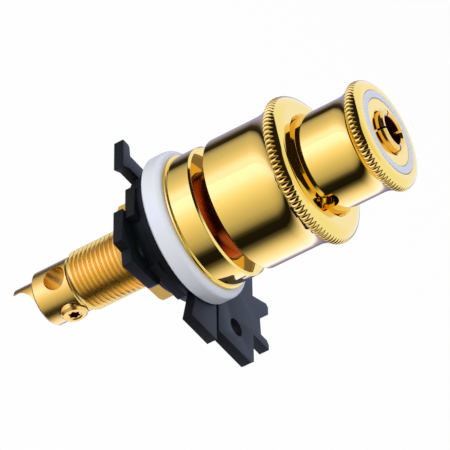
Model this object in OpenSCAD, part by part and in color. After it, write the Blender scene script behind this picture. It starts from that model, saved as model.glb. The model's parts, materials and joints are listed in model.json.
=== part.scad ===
// Binding post with a screw-down clamp knob, a 4 mm plug socket with its own collet knob,
// and a stack of moulded insulating plates held by a square nut.
// Z runs along the post, forward to the knobs. Z = 0 is the rear face of the white washer,
// and X and Y follow the straight edges of the plates. Millimetres.

/* [Insulating washer] */
// Diameter of the white washer
washer_d = 22.3; // [21:0.1:25]
// Thickness of the white washer
washer_t = 2.9; // [2.2:0.1:4]
// Radius of the washer's front edge
washer_round = 0.8; // [0.3:0.1:1.2]
// Wall of the sleeve that lines the panel hole
sleeve_wall = 0.9; // [0.6:0.1:1.1]

/* [Flange and stem] */
// Diameter of the flange behind the clamping gap
flange_d = 19.5; // [18:0.1:20.5]
// Thickness of the flange
flange_t = 4.3; // [3:0.1:6]
// How far the thin rear lip stands out of the flange
flange_lip = 0.35; // [0.2:0.05:0.6]
// Thickness of the rear lip
flange_lip_t = 0.5; // [0.3:0.1:0.8]
// Diameter of the stem that the clamp knob runs on
stem_d = 13; // [12.4:0.1:13.2]
// Diameter of the front stem that the collet knob runs on
front_stem_d = 10.4; // [9.8:0.1:10.6]
// Diameter of the cross hole for a bare wire in the clamping gap
gap_hole_d = 4; // [3:0.1:4.4]
// Clamping gap between the flange and the clamp knob
clamp_gap = 1.95; // [1:0.05:2.4]

/* [Clamp knob] */
// Length of the clamp knob
clamp_len = 13.2; // [12.8:0.1:15]
// Diameter of the clamp knob's barrel
clamp_barrel_d = 19.5; // [19.2:0.1:20]
// Height of the clamp knob's knurled bead over its barrel
clamp_bead_h = 1.25; // [1:0.05:1.7]
// Length of the knurled bead
clamp_bead_len = 3.4; // [2.6:0.1:3.8]
// Height of the ribs on the clamp knob's bead
clamp_rib_h = 0.4; // [0.25:0.05:0.5]
// Number of ribs round the clamp knob
clamp_ribs = 88; // [60:1:100]
// Length of the clamp knob's threaded bore
clamp_thread_len = 3.9; // [3:0.1:4.2]
// Diameter of the pressure ring in the clamp knob's rear face
ring_d = 18; // [17:0.1:18.2]
// Thickness of the pressure ring
ring_t = 1.5; // [1:0.1:1.8]

/* [Collet knob] */
// Length of the collet knob in front of the clamp knob
collet_knob_len = 10.9; // [10.5:0.1:13]
// Diameter of the collet knob's shank
shank_d = 14.26; // [14:0.02:14.6]
// How far the shank reaches into the clamp knob
shank_insert = 2.3; // [1.6:0.1:2.5]
// Height of the collet knob's knurled bead over its shank
collet_bead_h = 1.07; // [0.85:0.01:1.4]
// Length of the collet knob's bead
collet_bead_len = 2.7; // [2:0.1:3]
// Height of the ribs on the collet knob's bead
collet_rib_h = 0.3; // [0.2:0.05:0.4]
// Number of ribs round the collet knob
collet_ribs = 72; // [50:1:80]
// Diameter of the tommy bar hole in the shank
tommy_d = 3; // [2:0.1:3.2]
// Distance of the tommy bar hole in front of the clamp knob
tommy_z = 0.6; // [0.2:0.1:2]
// Direction of the tommy bar hole round the post
tommy_angle = -86.5; // [-180:0.5:180]

/* [Socket] */
// Bore of the plug socket
socket_d = 4.18; // [4.05:0.01:4.3]
// Depth of the plug socket
socket_depth = 19.5; // [15:0.5:20]
// Wall of the collet
collet_wall = 1; // [0.7:0.05:1.05]
// How far the collet's nose stands out of the face ring
nose_out = 0.9; // [0.3:0.1:1.2]
// Width of the slots between the collet's fingers
slot_w = 0.55; // [0.4:0.05:0.8]
// Length of the slots, measured from the nose
slot_len = 14; // [8:0.5:16]
// Number of slots round the collet
slot_count = 4; // [2:1:6]
// Direction of the first slot round the post
slot_angle = 34; // [0:1:90]
// Diameter of the gold face ring
face_ring_d = 10.1; // [9.6:0.1:10.6]
// Width of the white slip ring round the face ring
slip_ring_w = 1.15; // [0.8:0.05:1.3]
// Depth of the face ring and the slip ring
face_depth = 2; // [1.4:0.1:2.2]

/* [Thread, tail and solder cup] */
// Outside diameter of the mounting thread
thread_d = 9; // [8.6:0.1:9.6]
// Length of the mounting thread behind the washer
thread_len = 17.5; // [15:0.5:20]
// Diameter of the plain tail
tail_d = 8.1; // [7.6:0.1:8.2]
// Length of the plain tail
tail_len = 6.2; // [5.5:0.1:8]
// Diameter of the wire hole through the tail
wire_hole_d = 3.5; // [2.5:0.1:3.7]
// Direction of the wire hole round the post
wire_hole_angle = 195.5; // [180:0.5:270]
// Diameter of the set screw
screw_d = 4; // [3:0.1:4]
// Outside diameter of the solder cup
cup_d = 6.2; // [5.6:0.1:6.6]
// Wall of the solder cup
cup_wall = 0.55; // [0.4:0.05:0.8]
// Length of the solder cup
cup_len = 3.6; // [3:0.1:5]
// Radius of the scoop that opens the cup's side
cup_scoop = 2.8; // [2:0.1:2.9]
// Direction that the solder cup opens to
cup_angle = -40; // [-90:1:90]

/* [Square nut] */
// Width across the nut's flats
nut_w = 10.2; // [10:0.1:12]
// Thickness of the nut
nut_t = 3.1; // [2.5:0.1:4]
// How far the tightened nut has turned from square to the plates
nut_turn = 4; // [-45:1:45]

/* [Moulded plates] */
// Thickness of each of the three plates
plate_t = 1.6; // [1.3:0.1:2]
// Diameter of the front plate's round middle
front_plate_d = 19.6; // [19:0.1:21]
// Reach of the front plate's arm to the side
arm_x = 16.5; // [15.5:0.1:18]
// Reach of the front plate's arm downwards
arm_y = 12.8; // [12:0.1:14]
// Reach of the front plate's arm upwards
arm_top = 9; // [8.5:0.1:9.6]
// Width of the slit between the arm and the foot
slit_w = 0.5; // [0.4:0.05:0.8]
// Side of the slit that faces the foot
slit_x = 7.3; // [6.8:0.1:7.8]
// Reach of the front plate's foot downwards
foot_y = 15; // [14:0.1:16]
// Width of the foot at its end
foot_w = 6; // [5:0.1:6.4]
// Reach of the two hooks beyond the arm
hook_reach = 3.9; // [3:0.1:4.5]
// Lower side of the lower hook, below the post's axis
hook_low = 6.7; // [6:0.1:7.4]
// Distance from the lower hook's lower side to the upper hook's upper side
hook_span = 8.7; // [8:0.1:9.4]
// Thickness of the hooks
hook_t = 1.5; // [1.2:0.1:1.8]
// Cut at the arm's upper corner
arm_cut = 1.6; // [1:0.1:2.4]
// Diameter of the pin hole in the front plate's arm
arm_hole_d = 2.8; // [2:0.1:3.2]
// Diameter of the middle plate's round part
middle_plate_d = 19; // [18.4:0.1:20]
// Reach of the middle plate's tongue
tongue_x = 10.2; // [10:0.1:10.8]
// Width of the middle plate's tongue
tongue_w = 5.6; // [5:0.1:6.2]
// Lower side of the tongue, below the post's axis
tongue_low = 4.1; // [3.8:0.1:4.5]
// Width of the middle plate's straight lower edge
lower_edge_w = 7.2; // [6:0.1:7.8]
// Diameter of the rear plate's round part
rear_plate_d = 15; // [14.6:0.1:16.4]
// Reach of the rear plate's corner arm and key, left and down
corner_reach = 10.7; // [10.4:0.1:11.2]
// Diameter of the pin hole in the rear plate
corner_hole_d = 2.6; // [2:0.1:3]

/* [Clearances] */
// Radial clearance of the threads and turning fits
run_fit = 0.05; // [0.03:0.01:0.09]
// Axial play between a turning piece and what it turns on
end_play = 0.05; // [0.03:0.01:0.1]
// Radial clearance of the plates round the sleeve
loose_fit = 0.15; // [0.1:0.05:0.2]

/* [Hidden] */
$fn = 96;

gold = "#e8b33a";
brass = "#c9932f";
white = "#eceff6";
black = "#34383d";

edge = 0.3;             // small turned chamfer
knob_round = 0.8;       // rounding of a knob's front edge
over = 1;               // how far a cutter runs past the face it opens
collet_travel = 1.2;    // how far the collet is drawn in

// stations along the post
flange_front = washer_t + flange_t;
clamp_rear = flange_front + clamp_gap;
clamp_front = clamp_rear + clamp_len;
face_z = clamp_front + collet_knob_len;
nose_z = face_z + nose_out;
ring_front = clamp_rear + ring_t;
clamp_step = clamp_rear + clamp_thread_len;
shank_rear = clamp_front - shank_insert;
stem_front = shank_rear - collet_travel - edge;
face_rear = face_z - face_depth;
collar_t = 1.2;
front_stem_front = face_rear - collar_t - collet_travel - edge;
collet_rear = nose_z - socket_depth - over;
thread_end = -thread_len;
tail_end = thread_end - tail_len;
cup_end = tail_end - cup_len;
wire_z = thread_end - tail_len * 0.36;
plates_rear = -3 * plate_t;
hook_x = arm_x + hook_reach;
hook_top = hook_span - hook_low;

// radii that fit each other
thread_r = thread_d / 2;
sleeve_r = thread_r + run_fit + sleeve_wall;
plate_bore_r = sleeve_r + loose_fit;
stem_r = stem_d / 2;
front_stem_r = front_stem_d / 2;
shank_r = shank_d / 2;
ring_r = ring_d / 2;
collet_r = socket_d / 2 + collet_wall;
collar_r = collet_r + 0.9;
face_ring_r = face_ring_d / 2;
slip_ring_in_r = face_ring_r + run_fit;
slip_ring_r = slip_ring_in_r + slip_ring_w;
tail_r = tail_d / 2;
screw_r = screw_d / 2 - run_fit;
screw_angle = wire_hole_angle + 90;
screw_out = thread_r + 0.05;
screw_in = wire_hole_d / 2 + 0.1;
barrel_r = clamp_barrel_d / 2;
clamp_bead_r = barrel_r + clamp_bead_h;
collet_bead_r = shank_r + collet_bead_h;

// points along an arc about (x, y)
function arc(x, y, r, from, to, steps = 8) =
    [for (i = [0:steps]) let (a = from + (to - from) * i / steps) [x + r * cos(a), y + r * sin(a)]];

// the outline of a knob, from its rear face to its front face: a barrel, a hollow flare and a bead
module knob_profile(barrel, bead, rear, front, bead_len, rib_h) {
    root = bead - rib_h;
    rise = root - barrel;
    flare = 2.8 * rise + edge;              // radius of the hollow flare
    climb = sqrt(flare * flare - (flare - rise) * (flare - rise));
    bead_rear = front - bead_len;
    polygon(concat(
        [[0, rear], [barrel - edge, rear], [barrel, rear + edge]],
        arc(barrel + flare, bead_rear - climb, flare, 180, 180 - asin(climb / flare)),
        [[root, bead_rear + edge]],
        arc(root - knob_round, front - knob_round, knob_round, 0, 90),
        [[0, front]]));
}

// ribs that stand on a bead, rounded over at both ends
module bead_ribs(bead, rib_h, front, bead_len, count) {
    step = 360 / count;
    half = bead_len / 2;
    middle = front - half - edge;           // the ribs end short of the front face
    crown = (half * half + rib_h * rib_h) / (2 * rib_h);
    lean = asin(half / crown);
    intersection() {
        translate([0, 0, middle - half])
            linear_extrude(height = bead_len)
                polygon([for (i = [0:count - 1], k = [0, 1])
                    let (r = k == 0 ? bead + rib_h / 4 : bead - 1.25 * rib_h, a = (i + k / 2) * step)
                        [r * cos(a), r * sin(a)]]);
        rotate_extrude()
            polygon(concat(
                [[0, middle - half]],
                arc(bead - crown, middle, crown, -lean, lean),
                [[0, middle + half]]));
    }
}

// a plain ring between two heights
module ring(inner, outer, low, high) {
    translate([0, 0, low])
        difference() {
            cylinder(r = outer, h = high - low);
            translate([0, 0, -over]) cylinder(r = inner, h = high - low + 2 * over);
        }
}

module post() color(gold)
    difference() {
        union() {
            rotate_extrude()
                polygon([
                    [0, tail_end], [tail_r - edge, tail_end], [tail_r, tail_end + edge],
                    [tail_r, thread_end - 0.4], [thread_r - 0.5, thread_end], [thread_r, thread_end + 0.5],
                    [thread_r, washer_t], [flange_d / 2 + flange_lip, washer_t],
                    [flange_d / 2 + flange_lip, washer_t + flange_lip_t],
                    [flange_d / 2, washer_t + flange_lip_t],
                    [flange_d / 2, flange_front - edge], [flange_d / 2 - edge, flange_front],
                    [stem_r, flange_front], [stem_r, stem_front - edge], [stem_r - edge, stem_front],
                    [front_stem_r, stem_front], [front_stem_r, front_stem_front - edge],
                    [front_stem_r - edge, front_stem_front], [0, front_stem_front]]);
            solder_cup();
        }
        translate([0, 0, collet_rear - collet_travel - edge])
            cylinder(r = collet_r + run_fit, h = front_stem_front - collet_rear + collet_travel + 2 * over);
        translate([0, 0, flange_front + gap_hole_d / 2 + edge])
            rotate([0, 90, 0]) cylinder(d = gap_hole_d, h = flange_d, center = true);
        translate([0, 0, wire_z])
            rotate([0, 90, wire_hole_angle])
                cylinder(d = wire_hole_d, h = thread_d + 2 * over, center = true);
        translate([0, 0, wire_z])
            rotate([0, 90, screw_angle]) cylinder(r = screw_d / 2, h = thread_d);
    }

// a tube with one side cut away and a round scoop across it, which leaves one long lip
module solder_cup()
    rotate([0, 0, cup_angle])
        difference() {
            translate([0, 0, cup_end]) cylinder(d = cup_d, h = cup_len + edge);
            translate([0, 0, cup_end - over])
                cylinder(d = cup_d - 2 * cup_wall, h = cup_len + over - edge);
            translate([2 * cup_wall, -cup_d, cup_end - over])
                cube([cup_d, 2 * cup_d, cup_len + over - edge]);
            translate([cup_wall / 2, 0, cup_end + cup_wall])
                rotate([90, 0, 0]) cylinder(r = cup_scoop, h = 2 * cup_d, center = true);
        }

module front_washer() color(white)
    difference() {
        rotate_extrude()
            polygon(concat(
                [[0, -2 * plate_t + edge], [sleeve_r, -2 * plate_t + edge], [sleeve_r, 0],
                 [washer_d / 2 - edge, 0], [washer_d / 2, edge]],
                arc(washer_d / 2 - washer_round, washer_t - washer_round, washer_round, 0, 90),
                [[0, washer_t]]));
        translate([0, 0, -3 * plate_t]) cylinder(r = thread_r + run_fit, h = washer_t + 4 * plate_t);
    }

// a moulded plate: an outline with the post's hole, cut from the given height downwards
module plate(top, bore) {
    translate([0, 0, top - plate_t])
        difference() {
            linear_extrude(height = plate_t) children();
            translate([0, 0, -over]) cylinder(r = bore, h = plate_t + 2 * over);
        }
}

module front_plate() color(black)
    difference() {
        plate(0, plate_bore_r) {
            circle(d = front_plate_d);
            // the arm, with a lower and an upper hook that leave a socket between them
            polygon([[0, 0], [slit_x + slit_w, 0], [slit_x + slit_w, -arm_y],
                     [arm_x - arm_cut / 2, -arm_y], [arm_x, -arm_y + arm_cut / 2], [arm_x, -hook_low],
                     [hook_x, -hook_low], [hook_x, -hook_low + hook_t * 2 / 3],
                     [hook_x - hook_t / 3, -hook_low + hook_t], [arm_x + hook_reach / 2, -hook_low + hook_t],
                     [arm_x + hook_reach * 0.45, -hook_low + hook_t * 3],
                     [hook_x, hook_top - hook_t * 1.2], [hook_x, hook_top - hook_t / 4],
                     [hook_x - hook_t / 3, hook_top], [arm_x, hook_top - hook_t * 0.8],
                     [arm_x, arm_top - arm_cut], [arm_x - arm_cut, arm_top], [0, arm_top]]);
            // the foot, wider at its end
            polygon([[slit_x - foot_w, -foot_y], [slit_x, -foot_y], [slit_x, 0], [slit_x - foot_w / 2, 0],
                     [slit_x - foot_w * 0.73, -foot_y / 2]]);
        }
        translate([slit_x, -foot_y - over, -plate_t - over])
            cube([slit_w, foot_y + over - front_plate_d / 3, plate_t + 2 * over]);
        translate([(slit_x + slit_w + arm_x) / 2, (arm_hole_d - 2 * arm_y) * 0.386, -plate_t - over])
            cylinder(d = arm_hole_d, h = plate_t + 2 * over);
    }

module middle_plate() color(black)
    plate(-plate_t, plate_bore_r) {
        circle(d = middle_plate_d);
        // the tongue
        translate([-tongue_x, -tongue_low]) square([tongue_x, tongue_w]);
        // the lower edge
        translate([-lower_edge_w * 0.64, -middle_plate_d / 2]) square([lower_edge_w, middle_plate_d / 3]);
    }

module rear_plate() color(black)
    difference() {
        plate(-2 * plate_t, thread_r + 2 * run_fit) {
            circle(d = rear_plate_d);
            // the corner arm, with a socket for the next plate's hook
            polygon(corner_reach * [[-1, -0.234], [-1, -0.794], [-0.822, -0.813], [-0.794, -1.037],
                                    [-0.224, -0.972], [-0.159, -0.916], [-0.159, 0], [-0.467, -0.234]]);
            // the key, a neck with a wider head
            polygon(corner_reach * [[-1, 0.542], [-0.85, 0.617], [0, 0.617], [0, 0.869], [-0.832, 0.869],
                                    [-0.85, 1.019], [-0.879, 1.047], [-1, 1.047]]);
        }
        translate([-0.56 * corner_reach, -0.607 * corner_reach, plates_rear - over])
            cylinder(d = corner_hole_d, h = plate_t + 2 * over);
    }

module mounting_nut() color(brass)
    difference() {
        translate([0, 0, plates_rear - nut_t])
            intersection() {
                rotate([0, 0, nut_turn])
                    translate([-nut_w / 2, -nut_w / 2, 0]) cube([nut_w, nut_w, nut_t - end_play]);
                // turned corners
                cylinder(r1 = nut_w * 0.66, r2 = nut_w * 0.66 + 2 * nut_t, h = nut_t);
            }
        translate([0, 0, plates_rear - nut_t - over]) cylinder(r = thread_r + run_fit, h = nut_t + 2 * over);
    }

module pressure_ring() color(gold)
    ring(stem_r + run_fit, ring_r, clamp_rear, ring_front);

module clamp_knob() color(gold)
    difference() {
        union() {
            rotate_extrude()
                knob_profile(barrel_r, clamp_bead_r, clamp_rear, clamp_front, clamp_bead_len, clamp_rib_h);
            bead_ribs(clamp_bead_r, clamp_rib_h, clamp_front, clamp_bead_len, clamp_ribs);
        }
        translate([0, 0, clamp_rear - over]) cylinder(r = stem_r + run_fit, h = clamp_len + 2 * over);
        translate([0, 0, clamp_step]) cylinder(r = shank_r + run_fit, h = clamp_len);
        // the bevelled mouth
        translate([0, 0, clamp_front - 2 * edge])
            cylinder(r1 = shank_r, r2 = shank_r + 3 * edge, h = 3 * edge);
        translate([0, 0, clamp_rear - over]) cylinder(r = ring_r + run_fit, h = ring_t + end_play + over);
    }

module collet_knob() color(gold)
    difference() {
        union() {
            rotate_extrude()
                knob_profile(shank_r, collet_bead_r, shank_rear, face_z, collet_bead_len, collet_rib_h);
            bead_ribs(collet_bead_r, collet_rib_h, face_z, collet_bead_len, collet_ribs);
        }
        translate([0, 0, shank_rear - over])
            cylinder(r = front_stem_r + run_fit, h = face_z - shank_rear + 2 * over);
        translate([0, 0, face_rear - end_play]) cylinder(r = slip_ring_r + run_fit, h = face_depth + over);
        translate([0, 0, clamp_front + tommy_z])
            rotate([0, 90, tommy_angle]) cylinder(d = tommy_d, h = shank_d);
    }

module slip_ring() color(white)
    ring(slip_ring_in_r, slip_ring_r, face_rear, face_z + edge / 4);

module face_ring() color(gold)
    difference() {
        ring(collet_r + run_fit, face_ring_r, face_rear, face_z);
        // the dish round the nose
        translate([0, 0, face_z - edge])
            cylinder(r1 = collet_r + edge, r2 = collet_r + 3 * edge, h = 2 * edge);
    }

module collet() color(gold)
    difference() {
        rotate_extrude()
            polygon([
                [0, collet_rear], [collet_r - edge, collet_rear], [collet_r, collet_rear + edge],
                [collet_r, face_rear - collar_t], [collar_r, face_rear - collar_t], [collar_r, face_rear],
                [collet_r, face_rear], [collet_r, nose_z - edge], [collet_r - edge, nose_z], [0, nose_z]]);
        translate([0, 0, nose_z - socket_depth]) cylinder(d = socket_d, h = socket_depth + over);
        // the bevelled mouth
        translate([0, 0, nose_z - edge]) cylinder(d1 = socket_d, d2 = socket_d + 4 * edge, h = 2 * edge);
        for (i = [0:slot_count - 1])
            rotate([0, 0, i * 360 / slot_count + slot_angle])
                translate([0, -slot_w / 2, nose_z - slot_len])
                    cube([collet_r + over, slot_w, slot_len + over]);
    }

module set_screw() color(brass)
    translate([0, 0, wire_z])
        rotate([0, 90, screw_angle])
            difference() {
                rotate_extrude()
                    polygon([[0, screw_in], [screw_r - edge, screw_in], [screw_r, screw_in + edge],
                             [screw_r, screw_out - edge], [screw_r - edge, screw_out], [0, screw_out]]);
                // six-lobed driver socket
                translate([0, 0, screw_out - 1.2]) {
                    cylinder(d = screw_d * 0.33, h = 2);
                    for (i = [0:5])
                        rotate([0, 0, i * 60])
                            translate([screw_d * 0.15, 0, 0]) cylinder(d = screw_d * 0.14, h = 2);
                }
            }

post();
front_washer();
front_plate();
middle_plate();
rear_plate();
mounting_nut();
pressure_ring();
clamp_knob();
collet_knob();
slip_ring();
face_ring();
collet();
set_screw();
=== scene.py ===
"""Dresses the binding post: turned and knurled gold parts, moulded plates, studio, camera."""

import json
import math

import bmesh
import bpy
from mathutils import Matrix, Vector


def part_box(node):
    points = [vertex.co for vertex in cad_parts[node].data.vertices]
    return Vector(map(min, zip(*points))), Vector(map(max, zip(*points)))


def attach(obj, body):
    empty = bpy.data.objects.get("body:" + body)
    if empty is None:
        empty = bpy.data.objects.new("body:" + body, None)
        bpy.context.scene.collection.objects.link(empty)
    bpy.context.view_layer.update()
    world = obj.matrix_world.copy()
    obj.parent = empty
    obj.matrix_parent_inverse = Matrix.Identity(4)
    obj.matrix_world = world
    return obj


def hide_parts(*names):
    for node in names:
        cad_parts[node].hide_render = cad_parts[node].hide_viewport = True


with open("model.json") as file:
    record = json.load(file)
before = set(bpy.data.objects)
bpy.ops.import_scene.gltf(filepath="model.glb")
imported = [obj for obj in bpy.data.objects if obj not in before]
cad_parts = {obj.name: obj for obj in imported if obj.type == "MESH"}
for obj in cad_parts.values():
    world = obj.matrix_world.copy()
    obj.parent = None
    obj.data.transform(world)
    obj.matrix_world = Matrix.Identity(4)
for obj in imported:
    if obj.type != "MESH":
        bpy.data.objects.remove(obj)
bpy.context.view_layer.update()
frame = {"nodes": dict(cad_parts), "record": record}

MM = 0.001

# ---------------------------------------------------------------- sizes, in millimetres


def span(node):
    """Lowest and highest corner of a CAD node, in millimetres."""
    low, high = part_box(node)
    return low / MM, high / MM


def ends(node):
    """Rear and front end of a CAD node along the post's axis, in millimetres."""
    low, high = span(node)
    return low.z, high.z


def radius(node):
    """Radius of a round CAD node about the post's axis, in millimetres."""
    return span(node)[1].x


MOUNTS = {m["name"]: m for m in frame["record"]["mounts"]}

# shared by many pieces
FIT = 0.05            # clearance between a bore and what turns in it
SOFT = 0.12           # rounding of a turned edge
EDGE = 0.3            # chamfer of a turned edge
PLATE_EDGE = 0.12     # rounding of a moulded plate's edge
COLUMNS = 256         # facets round a turned piece
HOLE_COLUMNS = 96     # facets round a hole or a small turned piece
CLEAR = 8             # how far a cutter reaches from the axis, past the tail

# mounting thread, and the wire hole in the tail
THREAD_R = MOUNTS["mounting_stud"]["dims"]["r_mm"]
THREAD_PITCH = 0.75
THREAD_DEPTH = 0.44
THREAD_END = -17.5
THREAD_FRONT = 0.35
WIRE_R = MOUNTS["tail_wire_hole"]["dims"]["r_mm"]
WIRE_Z = MOUNTS["tail_wire_hole"]["pos_m"][2] / MM
WIRE_AXIS = Vector(MOUNTS["tail_wire_hole"]["axis"])

# washer, and its sleeve in the panel hole
WASHER_R = radius("front_washer")
WASHER_ROUND = 0.8
WASHER_CHAMFER = 0.25
SLEEVE_REAR, WASHER_FRONT = ends("front_washer")
SLEEVE_R = 5.45

# flange with its thin rear lip
FLANGE_LIP_R = radius("post")
FLANGE_R = 9.75
LIP_T = 0.5
HEAD_CORE_R = THREAD_R - 0.3
HEAD_REAR = 0.3

# clamp knob, with the pressure ring in its rear face
CLAMP_REAR, CLAMP_FRONT = ends("clamp_knob")
GAP = 1.95
FLANGE_FRONT = CLAMP_REAR - GAP
RING_FRONT = ends("pressure_ring")[1]
RING_R = radius("pressure_ring")
BARREL_R = 9.75
CLAMP_STEP = CLAMP_REAR + 3.9     # where the stem's bore widens to the shank's
CLAMP_BEAD_R = 11.0
CLAMP_FLARE_Z = CLAMP_FRONT - 5.3
CLAMP_NOSE = (2.0, 1.9)
CLAMP_BACK = (1.3, 0.9)
CLAMP_MOUTH = 0.6
CLAMP_RIBS = 88
CLAMP_RIB_DEPTH = 0.38
CLAMP_RIB_LOW = CLAMP_FRONT - 5

# collet knob and its shank, with the tommy bar hole
SHANK_R = 7.13
SHANK_REAR, FACE_Z = ends("collet_knob")
COLLET_BEAD_R = 8.2
COLLET_FLARE_Z = FACE_Z - 4.35
COLLET_NOSE = (1.4, 1.45)
COLLET_BACK = (1.0, 0.8)
COLLET_RIBS = 72
COLLET_RIB_DEPTH = 0.3
COLLET_RIB_LOW = FACE_Z - 4
SEAT_CHAMFER = 0.05
TOMMY_R = 1.5
TOMMY_Z = CLAMP_FRONT + 0.6
TOMMY_FLOOR = 5.1
TOMMY_ANGLE = math.radians(-86.5)

# stem that the two knobs run on: bare neck, thread, and plain front stem
STEM_R = 6.5
STEM_PITCH = 1.0
STEM_DEPTH = 0.5
STEM_CORE_R = STEM_R - 0.6
STEM_SLEEVE_R = STEM_R - 0.7      # inside of the neck and the thread, within the core
STEM_FRONT = SHANK_REAR - 1.5
NECK_FRONT = CLAMP_REAR + 0.5
CORE_FRONT = STEM_FRONT - 0.1
FRONT_STEM_R = 5.2

# face ring and slip ring
FACE_REAR = ends("face_ring")[0]
FACE_RING_R = radius("face_ring")
FACE_DISH = [(0.5, 0), (0.15, 0.3), (0, 0.6)]     # steps out from the hole, and down
SLIP_RING_R = radius("slip_ring")
SLIP_FRONT = ends("slip_ring")[1]
FRONT_STEM_END = FACE_REAR - 2.7

# collet, the slotted socket for the plug
SOCKET_R = MOUNTS["banana_socket"]["dims"]["r_mm"]
SOCKET_DEPTH = MOUNTS["banana_socket"]["dims"]["length_mm"]
SOCKET_MOUTH = 0.35
COLLET_REAR, NOSE_Z = ends("collet")
COLLET_R = SOCKET_R + 1.0
COLLAR_R = radius("collet")
COLLAR_REAR = FACE_REAR - 1.2
COLLAR_FRONT = FACE_REAR - 0.01
POST_BORE_END = COLLET_REAR - 1.5
SLOTS = 4
SLOT_W = 0.3
SLOT_LEN = 14.0
SLOT_ANGLE = math.radians(34)

# tail and solder cup
TAIL_END = THREAD_END - 6.2
TAIL_R = 4.05
CUP_END = ends("post")[0]
CUP_R = 3.1
CUP_ROOT = TAIL_END + 0.4
CUP_FLOOR = TAIL_END - 0.3
CUP_WALL = 0.55
CUP_SCOOP = 2.8
CUP_ANGLE = math.radians(-40)

# set screw, with a six-lobe recess
SCREW_R = 2.0
SCREW_AXIS = Vector((-WIRE_AXIS.y, WIRE_AXIS.x, 0))
SCREW_IN = WIRE_R + 0.1
SCREW_OUT = THREAD_R + 0.05
SCREW_EDGE_R = SCREW_R - 0.4
SCREW_EDGE = 0.35
SCREW_FACE_R = 1.15
SCREW_DISH_R = 0.95
SCREW_DISH = 0.15
RECESS_R = 0.78
RECESS_DEPTH = 1.3
RECESS_LOBES = 6
RECESS_SWING = 0.14
RECESS_REACH = 0.93     # its walls and floor lie within this radius

# square nut
NUT_REAR, NUT_FRONT = ends("mounting_nut")
NUT_HALF = 5.1
NUT_FACE_R = NUT_HALF * 1.32
NUT_CORNER_R = NUT_HALF * 1.5
NUT_CHAMFER = 0.5
NUT_SINK_R = THREAD_R + 0.35
NUT_TURN = math.radians(4)

# studio, in millimetres from the post
TENT_R = 200
TENT_HEIGHT = 600
TENT_MIDDLE = 203
FLOOR_Z = -100
FLOOR_HALF = 6000


# ---------------------------------------------------------------- mesh tools

SMOOTH_ANGLE = 32     # sharpest edge, in degrees, that is shaded smooth
SHARP_BEND = 20       # smallest corner, in degrees, that is rounded
AXIS_R = 1e-6         # a radius below this is on the axis
LONG_RUN = 0.25       # a straight run longer than this is held flat
HELD = 0.03           # distance from its ends of the points that hold it

def piece_from(name, bm):
    """A new object from a bmesh given in millimetres, with sharp edges kept sharp."""
    bmesh.ops.scale(bm, vec=(MM, MM, MM), verts=bm.verts)
    mesh = bpy.data.meshes.new(name)
    bm.to_mesh(mesh)
    bm.free()
    obj = bpy.data.objects.new(name, mesh)
    bpy.context.scene.collection.objects.link(obj)
    smooth(obj)
    return obj


def smooth(obj, degrees=SMOOTH_ANGLE):
    """Smooth shading that stops at edges sharper than the given angle."""
    obj.data.shade_smooth()
    obj.data.set_sharp_from_angle(angle=math.radians(degrees))


def arc(x, y, r, start, end, steps=8):
    """Points along an arc about (x, y), with angles in degrees."""
    turns = [math.radians(start + (end - start) * i / steps) for i in range(steps + 1)]
    return [(x + r * math.cos(a), y + r * math.sin(a)) for a in turns]


def softened(points, r=SOFT, steps=4):
    """A closed outline with its corners rounded, and points that hold straight runs flat."""
    out = []
    count = len(points)
    for i, here in enumerate(points):
        before, after = Vector(points[i - 1]), Vector(points[(i + 1) % count])
        here = Vector(here)
        back, ahead = before - here, after - here
        bend = math.pi - back.angle(ahead, math.pi)
        if here.x < AXIS_R or bend < math.radians(SHARP_BEND):
            out.append(here)
            continue
        cut = min(r * math.tan(bend / 2), back.length * 0.45, ahead.length * 0.45)
        first, last = here + back.normalized() * cut, here + ahead.normalized() * cut
        for k in range(steps + 1):
            t = k / steps
            out.append(first * (1 - t) ** 2 + here * 2 * t * (1 - t) + last * t * t)
    held = []
    for i, here in enumerate(out):
        after = out[(i + 1) % len(out)]
        held.append(here)
        gap = (after - here).length
        if gap > LONG_RUN:
            held.append(here.lerp(after, HELD / gap))
            held.append(here.lerp(after, 1 - HELD / gap))
    return held


def turned(name, outline, columns=COLUMNS, soft=SOFT):
    """A turned piece: a closed outline of (radius, height) points swept round the axis."""
    points = softened(outline, soft) if soft else [Vector(p) for p in outline]
    bm = bmesh.new()
    rings = []
    for p in points:
        if p.x < AXIS_R:
            rings.append([bm.verts.new((0, 0, p.y))] * columns)
        else:
            rings.append([bm.verts.new((p.x * math.cos(2 * math.pi * i / columns),
                                        p.x * math.sin(2 * math.pi * i / columns), p.y))
                          for i in range(columns)])
    for k, ring in enumerate(rings):
        after = rings[(k + 1) % len(rings)]
        for i in range(columns):
            j = (i + 1) % columns
            corners = list(dict.fromkeys([ring[i], ring[j], after[j], after[i]]))
            if len(corners) > 2:
                bm.faces.new(corners)
    bmesh.ops.recalc_face_normals(bm, faces=bm.faces)
    return piece_from(name, bm)


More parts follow.
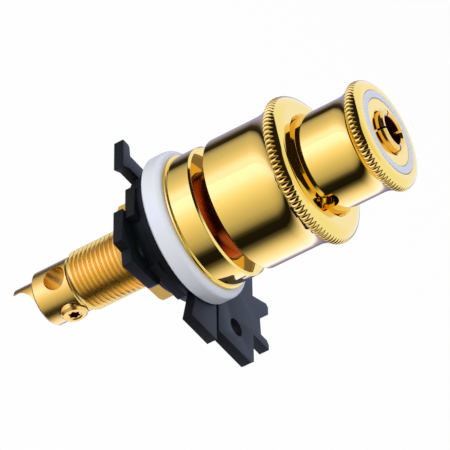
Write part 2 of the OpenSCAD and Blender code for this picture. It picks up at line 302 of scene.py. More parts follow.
def threaded(name, r, pitch, depth, low, high, lead, inner, columns=128):
    """A helical thread on a sleeve of the inner radius, with a chamfered lead at both ends.

    With an inner radius of 0 it is a solid rod.
    """
    # one turn of the ridge: how far along the pitch, and how high from root to crest
    ridge = [(0.0, 0.0), (0.09, 0.0), (0.44, 1.0), (0.56, 1.0), (0.91, 0.0)]
    turns = math.ceil((high - low) / pitch) + 3
    helix = [((k - 2 + step) * pitch, rise) for k in range(turns) for step, rise in ridge]
    bm = bmesh.new()

    def ring(spot):
        return [bm.verts.new(spot(i, 2 * math.pi * i / columns)) for i in range(columns + 1)]

    def on_sleeve(z):
        return ring(lambda i, a: (inner * math.cos(a), inner * math.sin(a), z))

    def on_thread(start, rise):
        def spot(i, a):
            z = min(max(low + start + i / columns * pitch, low), high)
            reach = r - depth * (1 - rise)
            reach = min(reach, r - lead + z - low, r - lead + high - z)
            return reach * math.cos(a), reach * math.sin(a), z
        return ring(spot)

    rows = [on_sleeve(low)]
    rows += [on_thread(start, rise) for start, rise in helix]
    rows.append(on_sleeve(high))
    for lower, upper in zip(rows, rows[1:] + rows[:1]):
        for i in range(columns):
            bm.faces.new([lower[i], lower[i + 1], upper[i + 1], upper[i]])
    bmesh.ops.remove_doubles(bm, verts=bm.verts, dist=1e-5)
    bmesh.ops.dissolve_degenerate(bm, edges=bm.edges, dist=1e-5)
    bmesh.ops.recalc_face_normals(bm, faces=bm.faces)
    rod = piece_from(name, bm)
    smooth(rod, degrees=40)
    return rod


def block(name, low, high):
    """A plain cutter block between two corners, in millimetres."""
    bm = bmesh.new()
    bmesh.ops.create_cube(bm, size=1)
    low, high = Vector(low), Vector(high)
    for v in bm.verts:
        v.co = Vector([(low[k] + high[k]) / 2 + v.co[k] * (high[k] - low[k]) for k in range(3)])
    return piece_from(name, bm)


def rod_along(name, r, start, end, columns=64):
    """A plain cutter rod between two points, in millimetres."""
    start, end = Vector(start), Vector(end)
    bm = bmesh.new()
    bmesh.ops.create_cone(bm, cap_ends=True, segments=columns, radius1=r, radius2=r,
                          depth=(end - start).length)
    turn = (end - start).to_track_quat("Z", "Y").to_matrix().to_4x4()
    bmesh.ops.transform(bm, matrix=Matrix.Translation((start + end) / 2) @ turn, verts=bm.verts)
    return piece_from(name, bm)


def place(obj, matrix):
    """Moves the mesh itself, so that the object stays at the origin."""
    obj.data.transform(matrix)
    return obj


def combine(obj, cutter, operation="DIFFERENCE"):
    """Applies one exact boolean and removes the cutter."""
    mod = obj.modifiers.new("cut", "BOOLEAN")
    mod.operation = operation
    mod.solver = "EXACT"
    mod.object = cutter
    bake_modifiers(obj)
    bpy.data.objects.remove(cutter)
    smooth(obj)
    return obj


def bake_modifiers(obj):
    """Makes the evaluated mesh the object's own and removes its modifiers."""
    bpy.context.view_layer.update()
    evaluated = obj.evaluated_get(bpy.context.evaluated_depsgraph_get())
    mesh = bpy.data.meshes.new_from_object(evaluated)
    obj.modifiers.clear()
    obj.data = mesh


def rounded_copy(name, node):
    """A copy of a CAD node with merged triangles and rounded edges."""
    obj = bpy.data.objects.new(name, frame["nodes"][node].data.copy())
    bpy.context.scene.collection.objects.link(obj)
    bm = bmesh.new()
    bm.from_mesh(obj.data)
    bmesh.ops.remove_doubles(bm, verts=bm.verts, dist=1e-6)
    bmesh.ops.dissolve_limit(bm, angle_limit=math.radians(1), verts=bm.verts, edges=bm.edges)
    bm.to_mesh(obj.data)
    bm.free()
    obj.data.materials.clear()
    mod = obj.modifiers.new("edges", "BEVEL")
    mod.width = PLATE_EDGE * MM
    mod.segments = 3
    mod.limit_method = "ANGLE"
    mod.angle_limit = math.radians(30)
    mod.harden_normals = False
    bake_modifiers(obj)
    smooth(obj, degrees=35)
    return obj


# ---------------------------------------------------------------- knurling


def knurl_tree():
    """Geometry nodes that cut straight V grooves into a turned bead, down to a root radius."""
    tree = bpy.data.node_groups.new("Knurl", "GeometryNodeTree")
    sockets = tree.interface
    sockets.new_socket("Geometry", in_out="INPUT", socket_type="NodeSocketGeometry")
    for name in ("Ribs", "Root Radius", "Depth", "Low"):
        sockets.new_socket(name, in_out="INPUT", socket_type="NodeSocketFloat")
    sockets.new_socket("Finish", in_out="INPUT", socket_type="NodeSocketMaterial")
    sockets.new_socket("Geometry", in_out="OUTPUT", socket_type="NodeSocketGeometry")
    start = add(tree, "NodeGroupInput")
    end = add(tree, "NodeGroupOutput")

    place_of = add(tree, "GeometryNodeInputPosition")
    parts = add(tree, "ShaderNodeSeparateXYZ", {0: place_of.outputs[0]})
    flat = add(tree, "ShaderNodeCombineXYZ", {0: parts.outputs[0], 1: parts.outputs[1]})
    reach = add(tree, "ShaderNodeVectorMath", {0: flat.outputs[0]}, operation="LENGTH")
    angle = math_node(tree, "ARCTAN2", parts.outputs[1], parts.outputs[0])
    half = math_node(tree, "MULTIPLY", angle, 0.5)
    wave = math_node(tree, "COSINE", math_node(tree, "MULTIPLY", half, start.outputs["Ribs"]))
    rib = math_node(tree, "MULTIPLY", math_node(tree, "ABSOLUTE", wave), start.outputs["Depth"])
    limit = math_node(tree, "ADD", start.outputs["Root Radius"], rib)
    excess = math_node(tree, "SUBTRACT", reach.outputs["Value"], limit)
    above = math_node(tree, "MAXIMUM", excess, 0.0)
    ahead = math_node(tree, "GREATER_THAN", parts.outputs[2], start.outputs["Low"])
    press = math_node(tree, "MULTIPLY", above, ahead)
    inward = add(tree, "ShaderNodeVectorMath", {0: flat.outputs[0]}, operation="NORMALIZE")
    shift = add(tree, "ShaderNodeVectorMath", {0: inward.outputs[0]}, operation="SCALE")
    tree.links.new(math_node(tree, "MULTIPLY", press, -1.0), shift.inputs["Scale"])

    # how deep a point lies in a groove; the gold materials paint shade from it
    kept = add(tree, "GeometryNodeStoreNamedAttribute", {
        "Geometry": start.outputs["Geometry"], "Name": "groove",
        "Value": math_node(tree, "DIVIDE", press, start.outputs["Depth"])},
        data_type="FLOAT", domain="POINT")
    moved = add(tree, "GeometryNodeSetPosition", {"Geometry": kept.outputs[0],
                                                  "Offset": shift.outputs[0]})
    real = add(tree, "GeometryNodeRealizeInstances", {0: moved.outputs[0]})
    finish = add(tree, "GeometryNodeSetMaterial", {"Geometry": real.outputs[0],
                                                   "Material": start.outputs["Finish"]})
    tree.links.new(finish.outputs[0], end.inputs[0])
    return tree


def math_node(tree, operation, first, second=None):
    """The value of one Math node, whose inputs are sockets or numbers."""
    inputs = {0: first} if second is None else {0: first, 1: second}
    return add(tree, "ShaderNodeMath", inputs, operation=operation).outputs[0]


def knurled(obj, tree, ribs, bead, depth, low):
    """Cuts the grooves into a polished turned piece and makes the result a plain mesh."""
    mod = obj.modifiers.new("knurl", "NODES")
    mod.node_group = tree
    values = {"Ribs": float(ribs), "Root Radius": (bead - depth) * MM, "Depth": depth * MM,
              "Low": low * MM, "Finish": POLISHED_GOLD}
    for item in tree.interface.items_tree:
        if item.in_out == "INPUT" and item.name in values:
            mod[item.identifier] = values[item.name]
    bake_modifiers(obj)
    smooth(obj, degrees=50)
    return obj


# ---------------------------------------------------------------- materials


def srgb(code):
    """A hex colour as linear red, green, blue and alpha."""
    parts = [int(code[k:k + 2], 16) / 255 for k in (0, 2, 4)]
    linear = [c / 12.92 if c <= 0.04045 else ((c + 0.055) / 1.055) ** 2.4 for c in parts]
    return tuple(linear) + (1.0,)


def add(tree, kind, inputs=None, **settings):
    """Adds a node, gives it its settings, and sets or links its inputs."""
    node = tree.nodes.new(kind)
    for name, value in settings.items():
        setattr(node, name, value)
    for key, value in (inputs or {}).items():
        socket = node.inputs[key]
        if isinstance(value, bpy.types.NodeSocket):
            tree.links.new(value, socket)
        else:
            socket.default_value = value
    return node


def new_material(name):
    """An empty material, with its node tree and its output node."""
    material = bpy.data.materials.new(name)
    material.use_nodes = True
    tree = material.node_tree
    tree.nodes.clear()
    return material, tree, add(tree, "ShaderNodeOutputMaterial")


def turned_metal(name, colour, rough, rough_swing, line_mm, line_depth, swirl):
    """Plated metal with faint turning marks: fine rings, a slow change of polish, and painted shade
    in the bottom of the knurl's grooves.
    """
    material, tree, out = new_material(name)
    where = add(tree, "ShaderNodeTexCoord").outputs["Object"]
    cloud = add(tree, "ShaderNodeTexNoise", {"Vector": where, "Scale": 1 / (6 * MM), "Detail": 3.0})
    polish = add(tree, "ShaderNodeMapRange", {"Value": cloud.outputs["Fac"], "From Min": 0.3,
                                              "From Max": 0.7, "To Min": rough - rough_swing,
                                              "To Max": rough + rough_swing})
    # the cutter leaves rings, so the pattern is drawn along the axis and along the radius
    parts = add(tree, "ShaderNodeSeparateXYZ", {0: where})
    flat = add(tree, "ShaderNodeCombineXYZ", {0: parts.outputs[0], 1: parts.outputs[1]})
    reach = add(tree, "ShaderNodeVectorMath", {0: flat.outputs[0]}, operation="LENGTH")
    ring_place = add(tree, "ShaderNodeCombineXYZ", {0: reach.outputs["Value"], 1: parts.outputs[2]})
    rings = add(tree, "ShaderNodeTexNoise", {"Vector": ring_place.outputs[0],
                                             "Scale": 1 / (line_mm * MM), "Detail": 2.0})
    wipe = add(tree, "ShaderNodeTexNoise", {"Vector": where, "Scale": 1 / (1.6 * MM), "Detail": 4.0,
                                            "Distortion": 0.6})
    height = add(tree, "ShaderNodeMix", {"Factor": swirl, 2: rings.outputs["Fac"],
                                         3: wipe.outputs["Fac"]}, data_type="FLOAT")
    bump = add(tree, "ShaderNodeBump", {"Strength": 1.0, "Distance": line_depth * MM,
                                        "Height": height.outputs[0]})
    # painted shade: the bottom of the knurl's grooves is darkened towards black-brown, where shade
    # falls
    groove = add(tree, "ShaderNodeAttribute", attribute_name="groove").outputs["Fac"]
    groove_shade = add(tree, "ShaderNodeMapRange", {"Value": groove, "From Min": 0.25, "From Max": 0.8},
               interpolation_type="SMOOTHSTEP")
    tint = add(tree, "ShaderNodeMix", {"Factor": groove_shade.outputs[0], 6: srgb(colour),
                                       7: srgb("2A1C0C")}, data_type="RGBA")
    shader = add(tree, "ShaderNodeBsdfPrincipled", {
        "Base Color": tint.outputs[2], "Metallic": 1.0, "Roughness": polish.outputs[0],
        "Normal": bump.outputs[0]})
    tree.links.new(shader.outputs[0], out.inputs["Surface"])
    return material


def moulded_plastic(name, colour, pale, rough, grain_mm, grain_depth, shine=0.5, tint=(1, 1, 1, 1)):
    """Moulded plastic: fine even grain, and colour that lifts a little in slow clouds."""
    material, tree, out = new_material(name)
    where = add(tree, "ShaderNodeTexCoord").outputs["Object"]
    cloud = add(tree, "ShaderNodeTexNoise", {"Vector": where, "Scale": 1 / (5 * MM), "Detail": 4.0})
    shade = add(tree, "ShaderNodeMix", {"Factor": cloud.outputs["Fac"], 6: srgb(colour),
                                        7: srgb(pale)}, data_type="RGBA")
    grain = add(tree, "ShaderNodeTexNoise", {"Vector": where, "Scale": 1 / (grain_mm * MM),
                                             "Detail": 3.0, "Roughness": 0.6})
    gloss = add(tree, "ShaderNodeMapRange", {"Value": grain.outputs["Fac"], "From Min": 0.3,
                                             "From Max": 0.7, "To Min": rough - 0.06,
                                             "To Max": rough + 0.06})
    bump = add(tree, "ShaderNodeBump", {"Strength": 1.0, "Distance": grain_depth * MM,
                                        "Height": grain.outputs["Fac"]})
    shader = add(tree, "ShaderNodeBsdfPrincipled", {
        "Base Color": shade.outputs[2], "Roughness": gloss.outputs[0], "Normal": bump.outputs[0],
        "IOR": 1.5, "Specular IOR Level": shine, "Specular Tint": tint})
    tree.links.new(shader.outputs[0], out.inputs["Surface"])
    return material


# polished hard gold over nickel: a near mirror, with hardly a mark
POLISHED_GOLD = turned_metal("polished_gold_plate", "F2CE66", rough=0.05, rough_swing=0.02,
                             line_mm=0.35, line_depth=0.0004, swirl=0.5)
# gold plate straight over the cutter's finish: threads, tail and set screw
TURNED_GOLD = turned_metal("turned_gold_plate", "F0C763", rough=0.27, rough_swing=0.05,
                           line_mm=0.12, line_depth=0.002, swirl=0.3)
# gold flash over the copper alloy of the collet
COLLET_GOLD = turned_metal("collet_copper_gold", "EDBE5E", rough=0.10, rough_swing=0.05,
                           line_mm=0.2, line_depth=0.001, swirl=0.3)
# painted shade: a dark red-brown copper colour inside the socket and the driver recess, where shade
# falls
INNER_SHADE_METAL = turned_metal("bare_copper_alloy", "8E3C22", rough=0.35, rough_swing=0.05,
                          line_mm=0.2, line_depth=0.001, swirl=0.3)
# neck of the stem: warm bare copper alloy
STEM_COPPER = turned_metal("stem_warm_copper", "A34A26", rough=0.20, rough_swing=0.05,
                           line_mm=0.2, line_depth=0.001, swirl=0.3)
# nut: barrel-plated brass, a little duller
NUT_GOLD = turned_metal("barrel_plated_brass", "E8BE5C", rough=0.22, rough_swing=0.06,
                        line_mm=0.3, line_depth=0.002, swirl=0.6)
# white acetal: smooth, slightly milky, a cold white
WHITE_PLASTIC = moulded_plastic("white_acetal", "D6D8DE", "DEE0E6", rough=0.34, grain_mm=0.25,
                                grain_depth=0.0004)
# glass-filled nylon: dark grey, satin, with the fine grain of the mould
BLACK_PLASTIC = moulded_plastic("glass_filled_nylon", "0A0D0E", "101416", rough=0.5, grain_mm=0.14,
                                grain_depth=0.004, shine=0.19, tint=(0.94, 0.95, 0.74, 1))


def dress(obj, body, node, material):
    """Gives a finished piece its material and body, and hides the CAD node that it stands for."""
    obj.data.materials.clear()
    obj.data.materials.append(material)
    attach(obj, body)
    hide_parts(node)
    return obj


def shade_inside(obj, point, axis, r):
    """Gives the dark painted-shade metal to the inner faces that lie within a radius of an axis."""
    obj.data.materials.append(INNER_SHADE_METAL)
    for face in obj.data.polygons:
        away = face.center / MM - point
        away -= axis * away.dot(axis)
        on_axis = away.length < 0.01
        if away.length < r and (on_axis or face.normal.dot(away.normalized()) < -0.2):
            face.material_index = 1


# ---------------------------------------------------------------- camera

camera_data = bpy.data.cameras.new("camera")
camera_data.lens = 360
camera_data.sensor_width = 36
camera_data.clip_start = 0.01
camera_data.clip_end = 20
camera = bpy.data.objects.new("camera", camera_data)
bpy.context.scene.collection.objects.link(camera)
CAMERA_PLACE = Vector((-0.3621, -0.4418, 0.2468))
CAMERA_RIGHT = Vector((0.5617, -0.0103, 0.8273)).normalized()
CAMERA_BACK = Vector((-0.5860, -0.7109, 0.3889)).normalized()
CAMERA_UP = CAMERA_BACK.cross(CAMERA_RIGHT).normalized()
camera.matrix_world = Matrix.Translation(CAMERA_PLACE) @ Matrix(
    (CAMERA_RIGHT, CAMERA_UP, CAMERA_BACK)).transposed().to_4x4()
bpy.context.scene.camera = camera


# ---------------------------------------------------------------- the post


def make_post_head():
    """Flange and core of the post, with the bore that the collet slides in."""
    bore = COLLET_R + FIT
    return turned("post_head", [
        (0, HEAD_REAR), (HEAD_CORE_R, HEAD_REAR), (HEAD_CORE_R, WASHER_FRONT - 0.4),
        (HEAD_CORE_R, WASHER_FRONT), (FLANGE_LIP_R, WASHER_FRONT),
        (FLANGE_LIP_R, WASHER_FRONT + LIP_T), (FLANGE_R, WASHER_FRONT + LIP_T),
        (FLANGE_R, FLANGE_FRONT - EDGE), (FLANGE_R - EDGE, FLANGE_FRONT),
        (STEM_CORE_R, FLANGE_FRONT), (STEM_CORE_R, CORE_FRONT),
        (FRONT_STEM_R, CORE_FRONT), (FRONT_STEM_R, FRONT_STEM_END),
        (bore, FRONT_STEM_END), (bore, POST_BORE_END), (0, POST_BORE_END)])


def make_stem_neck():
    """Plain bare neck of the stem between the flange and the clamp knob."""
    return turned("stem_neck", [
        (STEM_SLEEVE_R, FLANGE_FRONT), (STEM_R, FLANGE_FRONT), (STEM_R, NECK_FRONT),
        (STEM_SLEEVE_R, NECK_FRONT)], soft=0)


def make_stem_thread():
    """Thread that the clamp knob runs on."""
    return threaded("stem_thread", STEM_R, STEM_PITCH, STEM_DEPTH, NECK_FRONT, STEM_FRONT, EDGE,
                    STEM_SLEEVE_R)


def make_tail():
    """Plain tail with the wire hole, the screw hole and the scooped solder cup."""
    tail = turned("post_tail", [
        (0, TAIL_END), (TAIL_R - EDGE, TAIL_END), (TAIL_R, TAIL_END + EDGE),
        (TAIL_R, THREAD_END - 0.35), (TAIL_R - EDGE, THREAD_END), (0, THREAD_END)], soft=0.08)
    cup = turned("cup", [
        (0, CUP_END), (CUP_R, CUP_END), (CUP_R, CUP_ROOT), (0, CUP_ROOT)], soft=0.03)
    combine(cup, rod_along("cup_bore", CUP_R - CUP_WALL, (0, 0, CUP_END - 1), (0, 0, CUP_FLOOR),
                           HOLE_COLUMNS))
    opening = Matrix.Rotation(CUP_ANGLE, 4, "Z")
    side = block("side", (2 * CUP_WALL, -CLEAR, CUP_END - 1), (CLEAR, CLEAR, TAIL_END))
    combine(cup, place(side, opening))
    scoop_x, scoop_z = CUP_WALL / 2, CUP_END + CUP_WALL
    scoop = rod_along("scoop", CUP_SCOOP, (scoop_x, -CLEAR, scoop_z), (scoop_x, CLEAR, scoop_z),
                      HOLE_COLUMNS)
    combine(cup, place(scoop, opening))
    combine(tail, cup, "UNION")
    reach = Vector((WIRE_AXIS.x, WIRE_AXIS.y, 0)) * CLEAR
    centre = Vector((0, 0, WIRE_Z))
    combine(tail, rod_along("wire_hole", WIRE_R, centre - reach, centre + reach, HOLE_COLUMNS))
    combine(tail, rod_along("screw_hole", SCREW_R + 0.04, centre, centre + SCREW_AXIS * CLEAR,
                            HOLE_COLUMNS))
    return tail


def make_thread():
    """Fine mounting thread from the washer to the tail."""
    return threaded("mounting_thread", THREAD_R, THREAD_PITCH, THREAD_DEPTH, THREAD_END,
                    THREAD_FRONT, THREAD_DEPTH, 0)


dress(make_post_head(), "base", "post", POLISHED_GOLD)
dress(make_stem_neck(), "base", "post", STEM_COPPER)
dress(make_stem_thread(), "base", "post", TURNED_GOLD)
dress(make_tail(), "base", "post", TURNED_GOLD)
dress(make_thread(), "base", "post", TURNED_GOLD)


# ---------------------------------------------------------------- washer, plates and nut


def make_washer():
    """White washer with a sleeve; its front edge is well rounded."""
    return turned("insulating_washer", [
        (SLEEVE_R, 0), (WASHER_R - WASHER_CHAMFER, 0), (WASHER_R, WASHER_CHAMFER)]
        + arc(WASHER_R - WASHER_ROUND, WASHER_FRONT - WASHER_ROUND, WASHER_ROUND, 0, 90)
        + [(THREAD_R + FIT, WASHER_FRONT), (THREAD_R + FIT, SLEEVE_REAR), (SLEEVE_R, SLEEVE_REAR)])


def make_nut():
    """Square nut with turned corners and a plain bore, chamfered at the rear."""
    nut = turned("square_nut", [
        (0, NUT_REAR), (NUT_FACE_R, NUT_REAR), (NUT_CORNER_R, NUT_REAR + NUT_CHAMFER),
        (NUT_CORNER_R, NUT_FRONT), (0, NUT_FRONT)])
    flats = block("flats", (-NUT_HALF, -NUT_HALF, NUT_REAR), (NUT_HALF, NUT_HALF, NUT_FRONT))
    combine(nut, place(flats, Matrix.Rotation(NUT_TURN, 4, "Z")), "INTERSECT")
    bore = turned("bore", [
        (0, NUT_REAR - 1), (NUT_SINK_R, NUT_REAR - 1), (NUT_SINK_R, NUT_REAR),
        (THREAD_R + FIT, NUT_REAR + EDGE), (THREAD_R + FIT, NUT_FRONT + 1),
        (0, NUT_FRONT + 1)], soft=0)
    return combine(nut, bore)


dress(make_washer(), "base", "front_washer", WHITE_PLASTIC)
for piece, node, body in (("front_moulding", "front_plate", "base"),
                          ("middle_moulding", "middle_plate", "base"),
                          ("rear_moulding", "rear_plate", "rear_clamp")):
    dress(rounded_copy(piece, node), body, node, BLACK_PLASTIC)
dress(make_nut(), "nut", "mounting_nut", NUT_GOLD)


# ---------------------------------------------------------------- knobs


def bead_outline(barrel, bead, front, flare_z, nose, back):
    """Outline of a knob from the end of its barrel: long hollow flare, crest and round nose.

    nose and back are the radial and axial sizes of the rounding in front of the crest and
    behind it.
    """
    crest_z = front - nose[1]
    lean = math.radians(45)
    end_r, end_z = bead - back[0] * (1 - math.cos(lean)), crest_z - back[1] * math.sin(lean)
    climb, rise = end_z - flare_z, end_r - barrel
    flare = (climb ** 2 + rise ** 2) / (2 * rise)
    sweep = math.degrees(math.asin(climb / flare))
    hollow = arc(barrel + flare, flare_z, flare, 180, 180 - sweep, 18)
    crest = []
    for k in range(31):
        a = lean * (k / 10 - 1) if k < 10 else math.pi / 2 * (k - 10) / 20
        wide, deep = back if a < 0 else nose
        crest.append((bead - wide * (1 - math.cos(a)), crest_z + deep * math.sin(a)))
    return hollow + crest


def make_clamp_knob(tree):
    """Large knob: barrel, flare and knurled bead, bored for stem, shank and pressure ring."""
    bore, ring_seat = STEM_R + FIT, RING_R + FIT
    knob = turned("large_knob", [
        (ring_seat, CLAMP_REAR), (BARREL_R - EDGE, CLAMP_REAR), (BARREL_R, CLAMP_REAR + EDGE)]
        + bead_outline(BARREL_R, CLAMP_BEAD_R, CLAMP_FRONT, CLAMP_FLARE_Z, CLAMP_NOSE, CLAMP_BACK)
        + [(SHANK_R + CLAMP_MOUTH, CLAMP_FRONT), (SHANK_R + FIT, CLAMP_FRONT - CLAMP_MOUTH),
           (SHANK_R + FIT, CLAMP_STEP), (bore, CLAMP_STEP), (bore, RING_FRONT + FIT),
           (ring_seat, RING_FRONT + FIT)], columns=CLAMP_RIBS * 8)
    return knurled(knob, tree, CLAMP_RIBS, CLAMP_BEAD_R, CLAMP_RIB_DEPTH, CLAMP_RIB_LOW)


def make_collet_knob(tree):
    """Small knob: shank with a tommy bar hole, flare, knurled bead and slip ring seat."""
    bore, seat = FRONT_STEM_R + FIT, SLIP_RING_R + FIT
    knob = turned("small_knob", [
        (bore, SHANK_REAR), (SHANK_R - EDGE, SHANK_REAR), (SHANK_R, SHANK_REAR + EDGE)]
        + bead_outline(SHANK_R, COLLET_BEAD_R, FACE_Z, COLLET_FLARE_Z, COLLET_NOSE, COLLET_BACK)
        + [(seat + SEAT_CHAMFER, FACE_Z), (seat, FACE_Z - SEAT_CHAMFER), (seat, FACE_REAR - FIT),
           (bore, FACE_REAR - FIT)], columns=COLLET_RIBS * 8)
    knurled(knob, tree, COLLET_RIBS, COLLET_BEAD_R, COLLET_RIB_DEPTH, COLLET_RIB_LOW)
    out = Vector((math.cos(TOMMY_ANGLE), math.sin(TOMMY_ANGLE), 0))
    centre = Vector((0, 0, TOMMY_Z))
    combine(knob, rod_along("tommy_hole", TOMMY_R, centre + out * TOMMY_FLOOR,
                            centre + out * (CLEAR + 1)))
    smooth(knob, degrees=50)
    return knob


knurl = knurl_tree()
dress(make_clamp_knob(knurl), "clamp", "clamp_knob", POLISHED_GOLD)
dress(make_collet_knob(knurl), "tightener", "collet_knob", POLISHED_GOLD)


def plain_ring(name, inner, outer, low, high):
    """A turned ring with softened edges."""
    return turned(name, [(inner, low), (outer, low), (outer, high), (inner, high)])


dress(plain_ring("lug_ring", STEM_R + FIT, RING_R, CLAMP_REAR, RING_FRONT),
      "pressure", "pressure_ring", POLISHED_GOLD)
dress(plain_ring("white_ring", FACE_RING_R + FIT, SLIP_RING_R, FACE_REAR, SLIP_FRONT),
      "collet_set", "slip_ring", WHITE_PLASTIC)


def make_face_ring():
    """Gold ring round the nose, dished a little round its hole."""
    hole = COLLET_R + FIT
    return turned("nose_ring", [
        (hole, FACE_REAR), (FACE_RING_R, FACE_REAR), (FACE_RING_R, FACE_Z)]
        + [(hole + out, FACE_Z - down) for out, down in FACE_DISH])


def make_collet():
    """Slotted socket for the plug, with a bevelled mouth."""
    collet = turned("plug_collet", [
        (0, COLLET_REAR), (COLLET_R, COLLET_REAR), (COLLET_R, COLLAR_REAR),
        (COLLAR_R, COLLAR_REAR), (COLLAR_R, COLLAR_FRONT), (COLLET_R, COLLAR_FRONT),
        (COLLET_R, NOSE_Z - EDGE), (COLLET_R - EDGE, NOSE_Z), (SOCKET_R + SOCKET_MOUTH, NOSE_Z),
        (SOCKET_R, NOSE_Z - SOCKET_MOUTH), (SOCKET_R, NOSE_Z - SOCKET_DEPTH),
        (0, NOSE_Z - SOCKET_DEPTH)])
    for i in range(SLOTS):
        slot = block("slot", (0, -SLOT_W / 2, NOSE_Z - SLOT_LEN),
                     (COLLET_R + 2, SLOT_W / 2, NOSE_Z + 1))
        turn = SLOT_ANGLE + i * math.pi / 2
        combine(collet, place(slot, Matrix.Rotation(turn, 4, "Z")))
    return collet


dress(make_face_ring(), "collet_set", "face_ring", POLISHED_GOLD)
plug_collet = dress(make_collet(), "collet_set", "collet", COLLET_GOLD)
# painted shade inside the plug socket
shade_inside(plug_collet, Vector((0, 0, 0)), Vector((0, 0, 1)), SOCKET_R + FIT)


def make_set_screw():
    """Set screw with a rounded rim and a six-lobe driver socket."""
    side_r = SCREW_R - FIT
    screw = turned("set_screw_body", [
        (0, SCREW_IN), (SCREW_EDGE_R, SCREW_IN), (side_r, SCREW_IN + SCREW_EDGE),
        (side_r, SCREW_OUT - SCREW_EDGE), (SCREW_EDGE_R, SCREW_OUT), (SCREW_FACE_R, SCREW_OUT),
        (SCREW_DISH_R, SCREW_OUT - SCREW_DISH), (0, SCREW_OUT - SCREW_DISH)],
        columns=HOLE_COLUMNS, soft=0.06)
    recess = turned("lobes", [
        (0, SCREW_OUT - RECESS_DEPTH), (RECESS_R, SCREW_OUT - RECESS_DEPTH),
        (RECESS_R, SCREW_OUT + 1), (0, SCREW_OUT + 1)], columns=HOLE_COLUMNS, soft=0)
    for v in recess.data.vertices:
        angle = math.atan2(v.co.y, v.co.x)
        wave = 1 + RECESS_SWING * math.cos(RECESS_LOBES * angle)
        v.co.x *= wave
        v.co.y *= wave
    combine(screw, recess)
    turn = Vector((0, 0, 1)).rotation_difference(SCREW_AXIS).to_matrix().to_4x4()
    return place(screw, Matrix.Translation((0, 0, WIRE_Z * MM)) @ turn)


wire_screw = dress(make_set_screw(), "screw", "set_screw", TURNED_GOLD)
# painted shade inside the driver recess
shade_inside(wire_screw, Vector((0, 0, WIRE_Z)), SCREW_AXIS, RECESS_REACH)


# ---------------------------------------------------------------- studio


def set_stops(ramp, colours):
    """Fills a colour ramp from pairs of direction, in degrees, and colour."""
    stops = ramp.color_ramp.elements
    stops.remove(stops[0])
    for k, (angle, colour) in enumerate(colours):
        stop = stops[0] if k == 0 else stops.new((angle + 180) / 360)
        stop.position = (angle + 180) / 360
        stop.color = colour


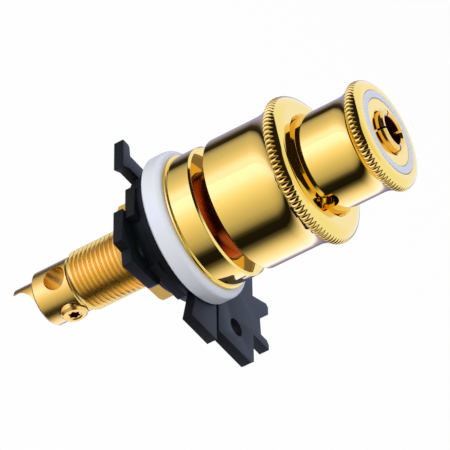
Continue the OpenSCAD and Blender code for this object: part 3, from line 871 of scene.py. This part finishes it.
def softbox_wall():
    """A ring of soft panels and dark flags that only reflections see."""
    material, tree, out = new_material("softboxes_and_flags")
    where = add(tree, "ShaderNodeTexCoord").outputs["Object"]
    parts = add(tree, "ShaderNodeSeparateXYZ", {0: where})
    turn = math_node(tree, "ARCTAN2", parts.outputs[1], parts.outputs[0])
    share = math_node(tree, "ADD", math_node(tree, "DIVIDE", turn, 2 * math.pi), 0.5)
    # direction in degrees round the post, brightness, and share of cold light
    panels = [
        (-180, 1.60, 1.0), (-164, 1.52, 0.9), (-153, 1.33, 0.5), (-141, 1.12, 0.2),
        (-129, 0.95, 0.1), (-118, 0.79, 0.1), (-106, 0.63, 0.1), (-95, 0.38, 0.1),
        (-86, 0.07, 0.1), (-80, 0.015, 0.1),
        (-64, 0.012, 0.1), (-56, 0.13, 0.1), (-48, 0.42, 0.2), (-40, 0.75, 0.3), (-32, 1.0, 0.4),
        (-22, 1.22, 0.5), (-10, 1.36, 0.7), (8, 1.46, 0.9), (20, 0.45, 0.7), (34, 0.2, 0.6),
        (55, 0.30, 0.9), (75, 0.42, 0.8), (90, 0.20, 0.5), (98, 0.04, 0.2), (110, 0.02, 0.1),
        (118, 0.40, 0.2), (126, 0.62, 0.2), (142, 0.80, 0.2), (157, 1.04, 0.3), (170, 1.42, 0.8)]
    top = 1.6     # the brightest panel: the ramp holds each level as a share of it
    warm, cold = Vector((1.0, 0.96, 0.85)), Vector((0.98, 1.02, 2.3))
    ramp = add(tree, "ShaderNodeValToRGB", {"Fac": share})
    set_stops(ramp, [(angle, tuple(warm.lerp(cold, cool) * level / top) + (1,))
                     for angle, level, cool in panels])
    # seen from the post: dark low down, the panels at the level of the barrel, pale above
    flat = add(tree, "ShaderNodeCombineXYZ", {0: parts.outputs[0], 1: parts.outputs[1]})
    reach = add(tree, "ShaderNodeVectorMath", {0: flat.outputs[0]}, operation="LENGTH")
    slope = math_node(tree, "DIVIDE", parts.outputs[2], reach.outputs["Value"])
    low = add(tree, "ShaderNodeMapRange", {"Value": slope, "From Min": -2.5, "From Max": -0.48,
                                           "To Min": 0.75, "To Max": 1.0})
    panel = add(tree, "ShaderNodeVectorMath", {0: ramp.outputs[0]}, operation="SCALE")
    tree.links.new(low.outputs[0], panel.inputs["Scale"])
    # a black ceiling on one side: how steeply it reaches up, by direction
    ceiling = add(tree, "ShaderNodeValToRGB", {"Fac": share})
    reaches = [(-180, 1.0), (-132, 1.0), (-115, 0.6), (-90, 0.3), (-62, 0.1), (-45, 0.0),
               (112, 0.0), (128, 0.8), (140, 1.0)]
    set_stops(ceiling, [(angle, (r, r, r, 1)) for angle, r in reaches])
    limit = math_node(tree, "MULTIPLY", ceiling.outputs[0], 2.3)
    over = math_node(tree, "SUBTRACT", slope, limit)
    open_sky = add(tree, "ShaderNodeMapRange", {"Value": over, "From Min": -0.35, "From Max": 0.1},
                   interpolation_type="SMOOTHSTEP")
    sky = add(tree, "ShaderNodeMix", {"Factor": open_sky.outputs[0], 6: (0.012, 0.01, 0.008, 1.0),
                                      7: (0.65, 0.74, 1.1, 1.0)}, data_type="RGBA")
    high = add(tree, "ShaderNodeMapRange", {"Value": slope, "From Min": -0.12, "From Max": 0.12},
               interpolation_type="SMOOTHSTEP")
    shade = add(tree, "ShaderNodeMix", {"Factor": high.outputs[0], 6: panel.outputs[0],
                                        7: sky.outputs[2]}, data_type="RGBA")
    glow = add(tree, "ShaderNodeEmission", {"Color": shade.outputs[2], "Strength": top})
    tree.links.new(glow.outputs[0], out.inputs["Surface"])
    bm = bmesh.new()
    bmesh.ops.create_cone(bm, cap_ends=True, segments=128, radius1=TENT_R, radius2=TENT_R,
                          depth=TENT_HEIGHT)
    bmesh.ops.translate(bm, verts=bm.verts, vec=(0, 0, TENT_MIDDLE))
    bmesh.ops.delete(bm, geom=[f for f in bm.faces if f.normal.z > 0.5], context="FACES_ONLY")
    bmesh.ops.reverse_faces(bm, faces=bm.faces)
    wall = piece_from("softbox_wall", bm)
    wall.data.materials.append(material)
    wall.visible_camera = False
    wall.visible_diffuse = False
    wall.visible_shadow = False
    wall.visible_transmission = False


def seen_directly(tree):
    """1 for rays that show the background: camera, glossy and transmission rays."""
    path = add(tree, "ShaderNodeLightPath")
    seen = math_node(tree, "ADD", path.outputs["Is Camera Ray"], path.outputs["Is Glossy Ray"])
    seen = math_node(tree, "ADD", seen, path.outputs["Is Transmission Ray"])
    return math_node(tree, "MINIMUM", seen, 1.0)


def make_floor():
    """Pale floor well below the post, near white to the camera, with only a soft shadow."""
    material, tree, out = new_material("pale_floor")
    paint = add(tree, "ShaderNodeBsdfDiffuse", {"Color": srgb("F6F6F6")})
    glow = add(tree, "ShaderNodeEmission", {"Color": (1, 1, 1, 1), "Strength": 1.02})
    share = math_node(tree, "MULTIPLY", seen_directly(tree), 0.92)
    mix = add(tree, "ShaderNodeMixShader", {"Fac": share, 1: paint.outputs[0], 2: glow.outputs[0]})
    tree.links.new(mix.outputs[0], out.inputs["Surface"])
    bm = bmesh.new()
    bmesh.ops.create_grid(bm, x_segments=1, y_segments=1, size=FLOOR_HALF)
    bmesh.ops.translate(bm, verts=bm.verts, vec=(0, 0, FLOOR_Z))
    floor = piece_from("floor", bm)
    floor.data.materials.append(material)


def make_world():
    """White to the camera and in reflections; a plain fill for everything else."""
    world = bpy.data.worlds.new("studio")
    world.use_nodes = True
    tree = world.node_tree
    tree.nodes.clear()
    out = add(tree, "ShaderNodeOutputWorld")
    fill = add(tree, "ShaderNodeBackground", {"Color": (0.98, 0.99, 1.0, 1.0), "Strength": 0.45})
    white = add(tree, "ShaderNodeBackground", {"Color": (1, 1, 1, 1), "Strength": 1.0})
    mix = add(tree, "ShaderNodeMixShader", {"Fac": seen_directly(tree), 1: fill.outputs[0],
                                            2: white.outputs[0]})
    tree.links.new(mix.outputs[0], out.inputs["Surface"])
    bpy.context.scene.world = world


def soft_lamp(name, angle, height, distance, size, power):
    """A square soft lamp that looks at the post; reflections see the panels instead."""
    data = bpy.data.lights.new(name, "AREA")
    data.shape = "SQUARE"
    data.size = size
    data.energy = power
    lamp = bpy.data.objects.new(name, data)
    bpy.context.scene.collection.objects.link(lamp)
    a = math.radians(angle)
    lamp.location = Vector((math.cos(a) * distance, math.sin(a) * distance, height))
    lamp.rotation_euler = (-lamp.location).to_track_quat("-Z", "Y").to_euler()
    lamp.visible_glossy = False


softbox_wall()
make_floor()
make_world()
soft_lamp("key", angle=-165, height=0.35, distance=0.6, size=0.4, power=3.0)
soft_lamp("rim", angle=-10, height=0.30, distance=0.7, size=0.4, power=1.0)

scene = bpy.context.scene
scene.view_settings.view_transform = "Standard"
